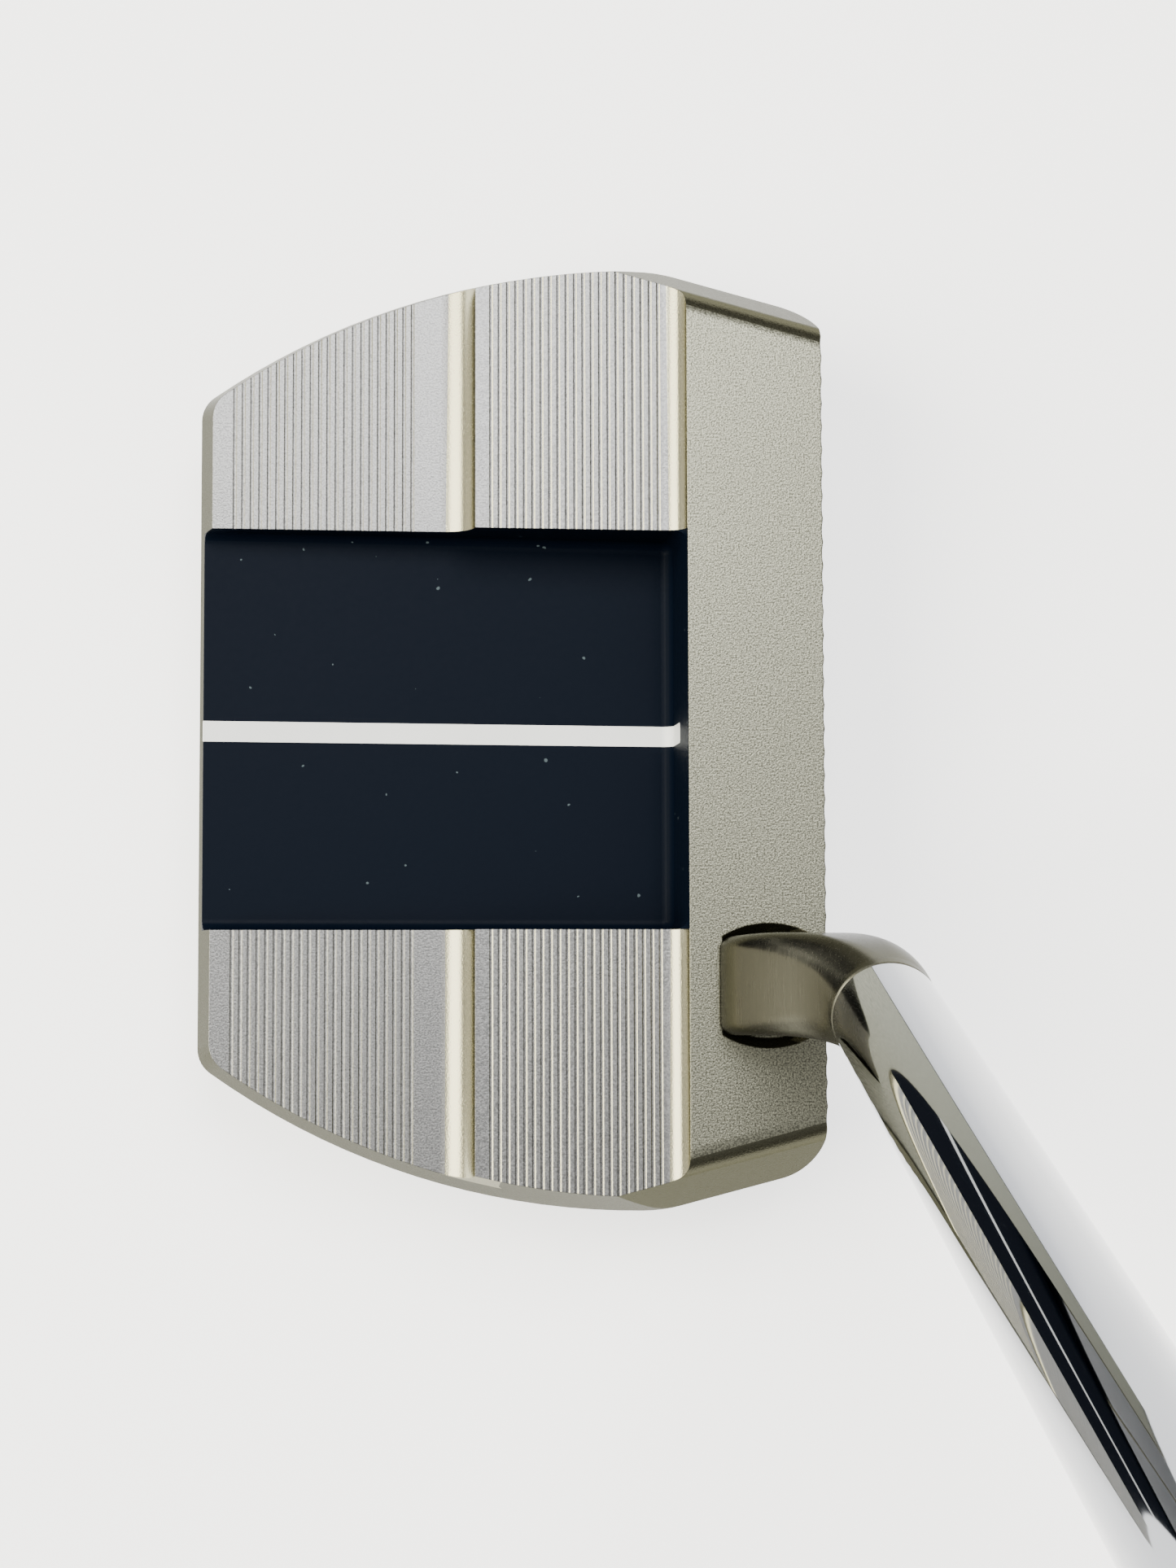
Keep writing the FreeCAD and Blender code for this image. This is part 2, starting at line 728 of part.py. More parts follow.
def make_sight_line(doc, s, head):
    """Make the white infill of the recess floor's slot, rounded at its front end."""
    owner = body(doc, "sight_line")
    rear = s.rear_x - s.overrun
    profile = Profile(owner, "line_block", "XZ_Plane")
    top = head.line_base(profile)
    profile.line(s.topline_back_x, top).line(*head.line_point(Size.of(90), s.recess_fillet))
    profile.arc(*head.line_point(-s.floor_slope, s.recess_fillet), s.recess_fillet, left=False)
    profile.line(rear, head.floor(rear))
    feature = owner.newObject("PartDesign::Pad", "line_pad")
    feature.Profile = profile.close()
    feature.Midplane = True
    bind(feature, "Length", s.line_width)
    doc.recompute()
    trim = Profile(owner, "line_rear", "XZ_Plane")
    level = head.floor(s.rear_x)
    lean = s.upper_draft.tan()
    below = level - s.overrun
    above = level + s.overrun
    low = s.rear_x + (below - s.belt_height - s.belt_band / 2) * lean
    high = s.rear_x + (above - s.belt_height - s.belt_band / 2) * lean
    behind = rear - s.overrun
    trim.start(low, below).line(high, above).line(behind, above).line(behind, below)
    cut(owner, trim.close(), s.line_width * 2, both=True)
    round_edges(owner, "line_corners", s.line_corner, head.line_corner(top))
    return owner


def rounded_square(side, corner, place):
    """Return the wire of a square with round corners, centred on a placement."""
    half = side / 2
    run = half - corner
    pull = corner * (1 - math.sqrt(0.5))
    edges = []
    for turn in range(4):
        spin = FreeCAD.Rotation(Vector(0, 0, 1), 90 * turn)
        start = spin.multVec(Vector(half, -run, 0))
        end = spin.multVec(Vector(half, run, 0))
        middle = spin.multVec(Vector(half - pull, half - pull, 0))
        after = spin.multVec(Vector(run, half, 0))
        edges.append(Part.LineSegment(start, end).toShape())
        edges.append(Part.Arc(end, middle, after).toShape())
    wire = Part.Wire(edges)
    wire.Placement = place
    return wire


def shaft_frame(s, along):
    """Return the placement on the shaft's axis at a distance from the ground."""
    lean = FreeCAD.Rotation(Vector(1, 0, 0), 90 - s.lie.value)
    ground = Vector(s.shaft_x.value, s.shaft_ground_y.value, 0)
    return FreeCAD.Placement(ground + lean.multVec(Vector(0, 0, along)), lean)


def make_neck(doc, s):
    """Make the neck: a spigot, a bent stem that turns from square to round, and a post."""
    top = shaft_frame(s, s.shaft_start.value - s.collar_length.value)
    start = Vector(s.neck_x.value, s.neck_y.value, s.topline_height.value)
    end = top.Base
    lead = (end.z - start.z) * s.neck_lead.value
    points = [start, start + Vector(0, 0, lead), end - top.Rotation.multVec(Vector(0, 0, lead)), end]
    curve = Part.BezierCurve()
    curve.setPoles(points)
    wires = []
    neck_end = (s.shaft_tip_radius.value - s.collar_lip.value) * 2
    for step in range(NECK_SECTIONS + 1):
        share = step / NECK_SECTIONS
        centre = curve.value(share)
        tangent = curve.tangent(share)[0]
        turn = FreeCAD.Rotation(Vector(0, 0, 1), tangent)
        side = s.neck_side.value + (neck_end - s.neck_side.value) * share
        full = side / 2 * s.neck_roundness.value
        corner = s.neck_corner.value + (full - s.neck_corner.value) * share ** 2
        wires.append(rounded_square(side, corner, FreeCAD.Placement(centre, turn)))
    stem = Part.makeLoft(wires, True, False)
    spigot = Part.makeBox(s.spigot_side.value, s.spigot_side.value, s.spigot_depth.value)
    base = Part.Face(rounded_square(s.neck_side.value, s.neck_corner.value, FreeCAD.Placement(
        start - Vector(0, 0, s.seat_depth.value), FreeCAD.Rotation())))
    base = base.extrude(Vector(0, 0, s.seat_depth.value))
    spigot.translate(Vector(s.neck_x.value - s.spigot_side.value / 2,
                            s.neck_y.value - s.spigot_side.value / 2,
                            s.topline_height.value - s.spigot_depth.value + s.bond_gap.value))
    overlap = s.collar_length.value / 2
    reach = s.collar_length.value + overlap
    collar = Part.makeCylinder(s.shaft_tip_radius.value, reach)
    rim = [edge for edge in collar.Edges if abs(edge.CenterOfMass.z - reach) < 1e-6]
    collar = collar.makeChamfer(s.collar_chamfer.value, rim)
    collar.Placement = shaft_frame(s, s.shaft_start.value - reach)
    post = Part.makeCylinder(post_radius(s), s.post_length.value + overlap)
    post.Placement = shaft_frame(s, s.shaft_start.value - overlap)
    neck = doc.addObject("Part::Feature", "neck")
    neck.Label = "neck"
    neck.Shape = stem.fuse([base, spigot, collar, post]).removeSplitter()
    return neck


def post_radius(s):
    """Radius of the neck's post, which the shaft slides over."""
    return s.shaft_tip_radius.value - s.shaft_wall.value - s.bond_gap.value


def make_neck_bond(doc, s):
    """Make the adhesive round the neck's spigot."""
    side = s.spigot_side + s.bond_gap * 2
    low = s.topline_height - s.spigot_depth
    outer = box(doc, "neck_bond_outer", side, side, s.spigot_depth - s.seat_depth, s.neck_x, s.neck_y, low)
    inner = box(doc, "neck_bond_inner", s.spigot_side, s.spigot_side, s.spigot_depth,
                s.neck_x, s.neck_y, low + s.bond_gap)
    return boolean(doc, "Cut", "neck_bond", outer, inner)


def make_plate(doc, s):
    """Make the sole plate with its countersunk holes."""
    owner = body(doc, "sole_plate")
    pad(owner, plate_outline(owner, "plate", s, 0), s.plate_thick)
    doc.recompute()
    for index, (x, y) in enumerate(screw_places(s)):
        hole = circle(owner, f"plate_hole_{index}", "XY_Plane", x, y, s.screw_radius + s.bond_gap)
        cut(owner, hole, s.plate_thick)
        sink = circle(owner, f"plate_sink_{index}", "XY_Plane", x, y, s.screw_head_radius + s.plate_gap * 2)
        feature = cut(owner, sink, s.screw_head_radius - s.screw_radius)
        bind(feature, "TaperAngle", -45)
    return owner


def make_pad(doc, s):
    """Make the damping gasket between the sole plate and its ledge."""
    owner = body(doc, "sole_gasket")
    sketch = plate_outline(owner, "gasket", s, 0, s.plate_thick)
    pad(owner, sketch, s.pad_thick)
    doc.recompute()
    opening = plate_outline(owner, "gasket_opening", s, -s.ledge, s.plate_thick)
    cut(owner, opening, s.pad_thick * 2)
    for index, (x, y) in enumerate(screw_places(s)):
        hole = circle(owner, f"gasket_hole_{index}", "XY_Plane", x, y, s.screw_radius + s.bond_gap,
                      s.plate_thick)
        cut(owner, hole, s.pad_thick * 2)
    return owner


def make_screw(doc, s, name, x, y):
    """Make one countersunk screw with a hexagon socket."""
    sunk = s.screw_head_radius - s.screw_radius
    head = cone(doc, f"{name}_head", s.screw_head_radius, s.screw_radius, sunk, 0)
    reach = s.plate_thick + s.pad_thick + s.screw_reach - s.bond_gap
    shank = cylinder(doc, f"{name}_shank", s.screw_radius - s.plate_gap / 2, reach)
    blank = boolean(doc, "Fuse", f"{name}_blank", head, shank)
    socket = doc.addObject("Part::Prism", f"{name}_socket")
    socket.Polygon = 6
    bind(socket, "Circumradius", s.screw_socket)
    bind(socket, "Height", sunk)
    place(socket, 0, 0, -s.bond_gap)
    screw = boolean(doc, "Cut", name, blank, socket)
    place(screw, x, y, s.plate_gap)
    return screw


def make_weight(doc, s, side):
    """Make one sole weight with a driver socket, and the ring that it is tightened against."""
    y = weight_y(s) * side
    name = "toe_weight" if side > 0 else "heel_weight"
    owner = body(doc, name)
    sketch = circle(owner, f"{name}_disc", "XY_Plane", s.weight_x, y, s.weight_radius, s.weight_sunk)
    pad(owner, sketch, s.weight_height)
    doc.recompute()
    z = s.weight_sunk

    def bottom(edge):
        return edge.BoundBox.ZMax < z.value + TOUCH

    round_edges(owner, f"{name}_rim", s.collar_chamfer, bottom)
    recess = circle(owner, f"{name}_dish", "XY_Plane", s.weight_x, y, s.weight_dish_radius, z)
    cut(owner, recess, s.weight_dish_depth)
    socket = circle(owner, f"{name}_socket", "XY_Plane", s.weight_x, y, s.screw_head_radius, z)
    cut(owner, socket, s.weight_socket_depth)
    ring = doc.addObject("Part::Torus", f"{name}_ring")
    ring.Label = ring.Name
    bind(ring, "Radius1", s.weight_radius - s.ring_section)
    bind(ring, "Radius2", s.ring_section)
    place(ring, s.weight_x, y, z + s.weight_height + s.ring_section)
    return [owner, ring]


def on_shaft(thing, s, along):
    """Stand a piece on the shaft's axis, at a distance from the ground."""
    across = Size.of(90) - s.lie
    thing.Placement = FreeCAD.Placement(Vector(), FreeCAD.Rotation(Vector(1, 0, 0), across.value))
    bind(thing, "Placement.Rotation.Angle", across)
    place(thing, s.shaft_x, s.shaft_ground_y - across.sin() * along, across.cos() * along)
    return thing


def shaft_radius(s, along):
    """Outer radius of the shaft at a distance from the ground."""
    grow = (s.shaft_butt_radius - s.shaft_tip_radius) / (s.club_length - s.cap_thick - s.shaft_start)
    return s.shaft_tip_radius + grow * (Size.of(along) - s.shaft_start)


def tube(doc, name, outer, inner, length):
    """Make a tube from the outer and inner radii at its low and high ends."""
    shell = cone(doc, f"{name}_outer", outer[0], outer[1], length)
    if abs(inner[0].value - inner[1].value) < 1e-9:
        hollow = cylinder(doc, f"{name}_inner", inner[0], length)
    else:
        hollow = cone(doc, f"{name}_inner", inner[0], inner[1], length)
    return boolean(doc, "Cut", name, shell, hollow)


def make_shaft(doc, s):
    """Make the tapered steel shaft and the adhesive between it and the neck's post."""
    length = s.club_length - s.cap_thick - s.shaft_start
    outer = (s.shaft_tip_radius, s.shaft_butt_radius)
    inner = (s.shaft_tip_radius - s.shaft_wall, s.shaft_butt_radius - s.shaft_wall)
    shaft = on_shaft(tube(doc, "shaft", outer, inner, length), s, s.shaft_start)
    grow = (inner[1] - inner[0]) / length * s.post_length
    post = inner[0] - s.bond_gap
    if abs(post.value - post_radius(s)) > 1e-9:
        raise ValueError("the post and its adhesive do not meet")
    bond = cone(doc, "shaft_bond_outer", inner[0], inner[0] + grow, s.post_length)
    core = cylinder(doc, "shaft_bond_inner", post, s.post_length)
    bond = on_shaft(boolean(doc, "Cut", "shaft_bond", bond, core), s, s.shaft_start)
    return [shaft, bond]


def make_grip(doc, s):
    """Make the tape, foam core, skin and end cap, from the shaft outwards."""
    start = s.club_length - s.grip_length
    length = s.grip_length - s.cap_thick
    end = s.club_length - s.cap_thick
    steel = (shaft_radius(s, start), shaft_radius(s, end))
    taped = tuple(radius + s.tape_thick for radius in steel)
    foam = (s.core_low_radius, s.core_high_radius)
    skin = tuple(radius + s.skin_thick for radius in foam)
    tape = on_shaft(tube(doc, "grip_tape", taped, steel, length), s, start)
    core = on_shaft(tube(doc, "grip_core", foam, taped, length), s, start)
    tube(doc, "grip_sleeve", skin, foam, length)
    sleeve = doc.getObject("grip_sleeve")
    thumb = box(doc, "thumb_flat", s.core_high_radius * 4, s.core_high_radius * 2, length)
    across = ((foam[1] - foam[0]) / length).value
    thumb.Placement.Rotation = FreeCAD.Rotation(Vector(1, 0, 0), -math.degrees(math.atan(across)))
    place(thumb, -s.core_high_radius * 2, skin[0] - s.grip_flat, 0)
    grip = on_shaft(boolean(doc, "Cut", "grip_skin", sleeve, thumb), s, start)
    lid = cylinder(doc, "grip_lid", skin[1], s.cap_thick)
    vent = cylinder(doc, "grip_vent", s.vent_radius, s.cap_thick)
    cap = boolean(doc, "Cut", "grip_lid_vented", lid, vent)
    flat = box(doc, "cap_flat", skin[1] * 4, skin[1] * 2, s.cap_thick)
    place(flat, -skin[1] * 2, skin[1] - s.grip_flat, 0)
    cap = on_shaft(boolean(doc, "Cut", "grip_end_cap", cap, flat), s, end)
    return [tape, core, grip, cap]


def check(doc, parts):
    """Stop if any object failed or any sub-part is not one sound shape."""
    for thing in doc.Objects:
        if "Invalid" in thing.State or "Error" in thing.State:
            raise RuntimeError(f"{thing.Name} failed: {thing.State}")
    for part in parts:
        if part.Shape.isNull() or not part.Shape.isValid() or len(part.Shape.Solids) != 1:
            raise RuntimeError(f"{part.Label} is not one valid solid")


def export(parts):
    """Write each sub-part's shape under its own name."""
    os.makedirs("parts", exist_ok=True)
    for part in parts:
        part.Shape.exportStep(f"parts/{part.Label}.step")
        log.info("%s %.1f mm3", part.Label, part.Shape.Volume)


def main():
    """Build the putter and write its sub-parts."""
    logging.basicConfig(level=logging.INFO, format="%(message)s")
    doc = FreeCAD.newDocument("putter")
    s = Sheet(doc, SIZES)
    head = Head(doc, s)
    parts = [head.body, make_sight_line(doc, s, head), make_neck(doc, s), make_neck_bond(doc, s),
             make_plate(doc, s), make_pad(doc, s)]
    names = ("toe_front", "toe_rear", "heel_front", "heel_rear")
    for name, (x, y) in zip(names, screw_places(s)):
        parts.append(make_screw(doc, s, f"sole_screw_{name}", x, y))
    for side in (1, -1):
        parts += make_weight(doc, s, side)
    parts += make_shaft(doc, s) + make_grip(doc, s)
    doc.recompute()
    check(doc, parts)
    export(parts)


main()
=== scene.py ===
"""Looks of a mallet putter: finishes, chrome shaft, padded grip, floor, light and camera."""
import json
import logging
import math
from dataclasses import dataclass
from enum import Enum
from typing import Callable, Optional

import bpy
from mathutils import Matrix, Vector

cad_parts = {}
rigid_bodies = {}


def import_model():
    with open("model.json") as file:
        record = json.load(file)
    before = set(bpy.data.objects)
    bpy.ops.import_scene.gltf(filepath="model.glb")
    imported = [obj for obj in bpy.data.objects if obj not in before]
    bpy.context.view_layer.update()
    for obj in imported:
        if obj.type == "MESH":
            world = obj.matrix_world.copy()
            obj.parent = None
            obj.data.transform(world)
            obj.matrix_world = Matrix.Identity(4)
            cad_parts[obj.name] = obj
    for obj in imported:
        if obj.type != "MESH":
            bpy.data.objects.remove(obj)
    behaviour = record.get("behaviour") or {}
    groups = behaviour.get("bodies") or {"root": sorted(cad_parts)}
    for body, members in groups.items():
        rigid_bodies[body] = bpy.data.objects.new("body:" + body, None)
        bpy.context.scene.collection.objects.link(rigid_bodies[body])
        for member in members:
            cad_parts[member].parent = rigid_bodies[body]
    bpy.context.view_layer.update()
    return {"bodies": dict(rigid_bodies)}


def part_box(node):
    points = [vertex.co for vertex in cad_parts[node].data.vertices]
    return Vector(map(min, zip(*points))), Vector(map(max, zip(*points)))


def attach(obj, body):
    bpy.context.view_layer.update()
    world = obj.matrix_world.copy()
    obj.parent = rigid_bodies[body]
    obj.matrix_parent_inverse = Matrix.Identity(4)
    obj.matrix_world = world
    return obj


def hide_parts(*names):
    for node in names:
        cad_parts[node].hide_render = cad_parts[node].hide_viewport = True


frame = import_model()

log = logging.getLogger("putter")
MM = 0.001
BODY = next(iter(frame["bodies"]))
WHITE = (1, 1, 1, 1)
BRUSH_STRETCH = 0.03
GRAIN_SCALE = 5200
CLOUD_SCALE = 60
PIT_RANGE = (0.36, 0.62)
FACING_UP = 0.9


class Texture(Enum):
    """How the surface of a metal was finished."""

    BLASTED = "blasted"
    BRUSHED = "brushed"
    TURNED = "turned"


class Graph:
    """A small writer of material nodes."""

    def __init__(self, name: str) -> None:
        """Start a material with an empty surface.

        Args:
            name: The material's name.
        """
        self.material = bpy.data.materials.new(name)
        self.material.use_nodes = True
        self.tree = self.material.node_tree
        self.shader = self.tree.nodes["Principled BSDF"]
        self.coords = self.tree.nodes.new("ShaderNodeTexCoord").outputs["Object"]

    def node(self, kind: str, inputs: Optional[dict] = None, **settings: object) -> bpy.types.Node:
        """Add a node.

        Args:
            kind: The node's type.
            inputs: Values or sockets for its inputs, by name or number.
            settings: Values for its properties.

        Returns:
            The new node.
        """
        new = self.tree.nodes.new(kind)
        for name, value in settings.items():
            setattr(new, name, value)
        for key, value in (inputs or {}).items():
            if isinstance(value, bpy.types.NodeSocket):
                self.tree.links.new(value, new.inputs[key])
            else:
                new.inputs[key].default_value = value
        return new

    def maths(self, operation: str, *values: object) -> bpy.types.NodeSocket:
        """Return the result of a Math node.

        Args:
            operation: The sum to do.
            values: Numbers or sockets, in the node's order.

        Returns:
            The result.
        """
        inputs = dict(enumerate(values))
        return self.node("ShaderNodeMath", inputs, operation=operation).outputs[0]

    def noise(self, scale: float, detail: float = 3.0, stretch: tuple = (1, 1, 1)) -> bpy.types.NodeSocket:
        """Return noise on the object's own coordinates.

        Args:
            scale: Features per metre.
            detail: Number of finer layers.
            stretch: Scale along each axis.

        Returns:
            The noise factor.
        """
        mapped = self.node("ShaderNodeMapping", {"Vector": self.coords, "Scale": stretch})
        inputs = {"Vector": mapped.outputs[0], "Scale": scale, "Detail": detail}
        return self.node("ShaderNodeTexNoise", inputs).outputs["Fac"]

    def blend(self, share: object, first: object, second: object) -> bpy.types.NodeSocket:
        """Return a mix of two colours.

        Args:
            share: Share of the second colour, from 0 to 1.
            first: Colour at 0.
            second: Colour at 1.

        Returns:
            The mixed colour.
        """
        mix = self.node("ShaderNodeMix", data_type="RGBA")
        for index, value in ((0, share), (6, first), (7, second)):
            if isinstance(value, bpy.types.NodeSocket):
                self.tree.links.new(value, mix.inputs[index])
            else:
                mix.inputs[index].default_value = value
        return mix.outputs[2]

    def between(self, value: object, low: float, high: float) -> bpy.types.NodeSocket:
        """Return a value from 0..1 spread over a range.

        Args:
            value: The value to spread.
            low: The result at 0.
            high: The result at 1.

        Returns:
            The spread value.
        """
        inputs = {"Value": value, "To Min": low, "To Max": high}
        return self.node("ShaderNodeMapRange", inputs).outputs[0]

    def fade(self, share: object, first: object, second: object) -> bpy.types.NodeSocket:
        """Return a mix of two numbers.

        Args:
            share: Share of the second number, from 0 to 1.
            first: Number at 0.
            second: Number at 1.

        Returns:
            The mixed number.
        """
        return self.node("ShaderNodeMix", {0: share, 2: first, 3: second}).outputs[0]

    def turn(self, share: object, first: object, second: object) -> bpy.types.NodeSocket:
        """Return a mix of two normals.

        Args:
            share: Share of the second normal, from 0 to 1.
            first: Normal at 0.
            second: Normal at 1.

        Returns:
            The mixed normal.
        """
        return self.node("ShaderNodeMix", {0: share, 4: first, 5: second}, data_type="VECTOR").outputs[1]

    def all_of(self, *tests: bpy.types.NodeSocket) -> bpy.types.NodeSocket:
        """Return 1 where every test gives 1.

        Args:
            tests: Sockets that give 0 or 1.

        Returns:
            The product of the tests.
        """
        product = tests[0]
        for test in tests[1:]:
            product = self.maths("MULTIPLY", product, test)
        return product

    def bump(self, height: object, distance: float,
             normal: Optional[bpy.types.NodeSocket] = None) -> bpy.types.NodeSocket:
        """Return a bumped normal.

        Args:
            height: The height map.
            distance: Height in metres of the map's full range.
            normal: A normal to start from.

        Returns:
            The normal.
        """
        inputs = {"Height": height, "Distance": distance}
        if normal is not None:
            inputs["Normal"] = normal
        return self.node("ShaderNodeBump", inputs).outputs[0]

    def set(self, **values: object) -> bpy.types.Material:
        """Set the shader's inputs and return the material.

        Args:
            values: Values or sockets by input name, with underscores for spaces.

        Returns:
            The material.
        """
        for name, value in values.items():
            socket = self.shader.inputs[name.replace("_", " ")]
            if isinstance(value, bpy.types.NodeSocket):
                self.tree.links.new(value, socket)
            else:
                socket.default_value = value
        return self.material


def shades(color: tuple, darker: float, lighter: float) -> tuple:
    """Return a darker and a lighter shade of a colour.

    Args:
        color: The colour.
        darker: Factor of the dark shade.
        lighter: Factor of the light shade.

    Returns:
        The two shades, each with full alpha.
    """
    dark = tuple(value * darker for value in color)
    light = tuple(min(value * lighter, 1) for value in color)
    return (*dark, 1), (*light, 1)


@dataclass(frozen=True)
class Metal:
    """A bare metal finish.

    Attributes:
        grain: Depth of the grain, in millimetres.
        edge: Radius that sharp edges seem to have, in millimetres.
        speckle: How dark the grain's pits are.
        edge_on: How bright the metal is where it is seen edge on.
    """

    name: str
    color: tuple
    roughness: float
    texture: Texture
    grain: float = 0.0
    edge: float = 0.2
    speckle: float = 0.2
    edge_on: float = 0.5

    def surface(self, graph: Graph) -> tuple:
        """Write the metal's colour, roughness and normal.

        Args:
            graph: The material to write in.

        Returns:
            The colour, roughness and normal sockets.
        """
        stretch = (1, BRUSH_STRETCH, 1) if self.texture is Texture.BRUSHED else (1, 1, 1)
        fine = graph.noise(GRAIN_SCALE, 2, stretch)
        broad = graph.noise(CLOUD_SCALE, 4)
        dark, light = shades(self.color, 0.88, 1.1)
        tone = graph.blend(graph.between(broad, 0.2, 0.8), dark, light)
        pit = tuple(value * (1 - self.speckle) for value in self.color)
        low, high = PIT_RANGE
        spot = graph.node("ShaderNodeMapRange", {"Value": fine, "From Min": low, "From Max": high}).outputs[0]
        spark = graph.blend(spot, (*pit, 1), tone)
        rough = graph.between(fine, self.roughness - 0.06, self.roughness + 0.08)
        edge = graph.node("ShaderNodeBevel", {"Radius": self.edge * MM}, samples=4).outputs[0]
        normal = graph.bump(fine, self.grain * MM, edge)
        return spark, rough, normal

    def material(self) -> bpy.types.Material:
        """Return the finish as a material.

        Returns:
            The material.
        """
        graph = Graph(self.name)
        color, rough, normal = self.surface(graph)
        return graph.set(Base_Color=color, Roughness=rough, Normal=normal, Metallic=1.0,
                         Specular_Tint=(self.edge_on, self.edge_on, self.edge_on, 1))


@dataclass(frozen=True)
class Soft:
    """Rubber, foam, paint or plastic."""

    name: str
    color: tuple
    roughness: float
    grain_size: float = 1500
    grain: float = 0.05

    def material(self) -> bpy.types.Material:
        """Return the finish as a material.

        Returns:
            The material.
        """
        graph = Graph(self.name)
        fine = graph.noise(self.grain_size, 4)
        broad = graph.noise(45, 3)
        dark, light = shades(self.color, 0.8, 1.15)
        tone = graph.blend(broad, dark, light)
        rough = graph.between(fine, self.roughness - 0.08, self.roughness + 0.08)
        return graph.set(Base_Color=tone, Roughness=rough, Normal=graph.bump(fine, self.grain * MM))


@dataclass(frozen=True)
class HeadFinish:
    """Blasted and machined metal with a painted recess, painted shade on tilted faces and a painted highlight
    in the rear-facing coves.
    """

    wing: Metal = Metal("wing", (0.235, 0.235, 0.232), 0.34, Texture.BLASTED, 0.02, 0.12, 0.4)
    topline: Metal = Metal("topline", (0.25, 0.248, 0.19), 0.34, Texture.BLASTED, 0.03, 0.25, 0.65)
    # Painted shade: a dark olive copy of the metal laid on every tilted face, so rims, bevels and walls look
    # shaded.
    painted_shade_rim: Metal = Metal("painted_shade_rim", (0.085, 0.083, 0.058), 0.28, Texture.BLASTED, 0.004, 0.3)
    # Painted highlight: a brighter, warmer copy of the metal for the concave coves that face the rear lamp.
    painted_highlight_cove: Metal = Metal("painted_highlight_cove", (0.36, 0.345, 0.25), 0.24, Texture.BLASTED, 0.004, 0.1, 0.05)
    paint: tuple = (0.0012, 0.003, 0.0075)
    # Painted shade: dimmer reflection tint given to the tilted faces.
    edge_on: tuple = (0.44, 0.44, 0.425)
    cove_back: float = -7.2
    cove_low: float = 19.3
    recess_half: float = 21.3
    topline_back: float = 18.75
    wall_slack: float = 0.02
    flat_limit: float = 0.93
    cove_limit: float = -0.2
    orange_scale: float = 1400
    orange_depth: float = 0.006
    paint_rough: tuple = (0.42, 0.52)
    paint_specular: float = 0.05
    dust_scale: float = 900
    dust_limit: float = 0.79
    dust: tuple = (0.06, 0.08, 0.09)
    floor_rear: float = 15.8
    floor_slope: float = 2.8
    slack: float = 0.03

    def recess_mask(self, graph: Graph, x: object, y: object, z: object) -> bpy.types.NodeSocket:
        """Return 1 on the recess's floor and walls.

        Args:
            graph: The material to write in.
            x: Place along X.
            y: Place along Y.
            z: Height.

        Returns:
            The mask.
        """
        rear = frame_low("head_body").x
        wide = graph.maths("LESS_THAN", graph.maths("ABSOLUTE", y), (self.recess_half + self.slack) * MM)
        behind = graph.maths("LESS_THAN", x, (self.topline_back + self.slack) * MM)
        slope = math.tan(math.radians(self.floor_slope))
        fall = graph.maths("MULTIPLY", graph.maths("SUBTRACT", x, rear), slope)
        level = graph.maths("ADD", z, fall)
        above = graph.maths("GREATER_THAN", level, (self.floor_rear - self.slack * 5) * MM)
        return graph.all_of(wide, behind, above)

    def material(self) -> bpy.types.Material:
        """Return the head's finish as one material.

        Returns:
            The material.
        """
        graph = Graph("head_finish")
        split = graph.node("ShaderNodeSeparateXYZ", {0: graph.coords}).outputs
        mask = self.recess_mask(graph, split[0], split[1], split[2])
        wing, wing_rough, wing_normal = self.wing.surface(graph)
        top, top_rough, top_normal = self.topline.surface(graph)
        painted_shade_rim, painted_shade_rim_rough, _ = self.painted_shade_rim.surface(graph)
        painted_highlight_cove, painted_highlight_cove_rough, _ = self.painted_highlight_cove.surface(graph)
        ahead = graph.maths("GREATER_THAN", split[0], (self.topline_back - self.wall_slack) * MM)
        true_normal = graph.node("ShaderNodeNewGeometry").outputs["True Normal"]
        up = graph.node("ShaderNodeSeparateXYZ", {0: true_normal}).outputs
        # Painted shade mask: faces tilted more than about 21 degrees from level get the dark colour and the
        # dim reflection tint.
        tilt_shade_mask = graph.maths("LESS_THAN", up[2], self.flat_limit)
        # Painted highlight mask: upper faces whose normal points to the rear, towards the rear lamp, get the
        # bright cove colour.
        cove_highlight_mask = graph.all_of(graph.maths("LESS_THAN", up[0], self.cove_limit),
                              graph.maths("GREATER_THAN", split[0], self.cove_back * MM),
                              graph.maths("GREATER_THAN", split[2], self.cove_low * MM))
        metal = graph.blend(cove_highlight_mask, graph.blend(tilt_shade_mask, graph.blend(ahead, wing, top), painted_shade_rim), painted_highlight_cove)
        rough = graph.fade(ahead, wing_rough, top_rough)
        rough = graph.fade(cove_highlight_mask, graph.fade(tilt_shade_mask, rough, painted_shade_rim_rough), painted_highlight_cove_rough)
        tilt_shade_tint = graph.blend(tilt_shade_mask, WHITE, (*self.edge_on, 1))
        orange = graph.noise(self.orange_scale, 2)
        dust = graph.maths("GREATER_THAN", graph.noise(self.dust_scale, 1), self.dust_limit)
        paint = graph.blend(dust, (*self.paint, 1), (*self.dust, 1))
        normal = graph.turn(ahead, wing_normal, top_normal)
        normal = graph.turn(mask, normal, graph.bump(orange, self.orange_depth * MM))
        return graph.set(Base_Color=graph.blend(mask, metal, paint), Normal=normal, Specular_Tint=tilt_shade_tint,
                         Roughness=graph.fade(mask, rough, graph.between(orange, *self.paint_rough)),
                         Metallic=graph.maths("SUBTRACT", 1.0, mask),
                         Specular_IOR_Level=self.paint_specular)


def frame_low(node: str) -> Vector:
    """Return a node's lowest corner.

    Args:
        node: The node's name.

    Returns:
        The corner, in metres.
    """
    return Vector(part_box(node)[0])


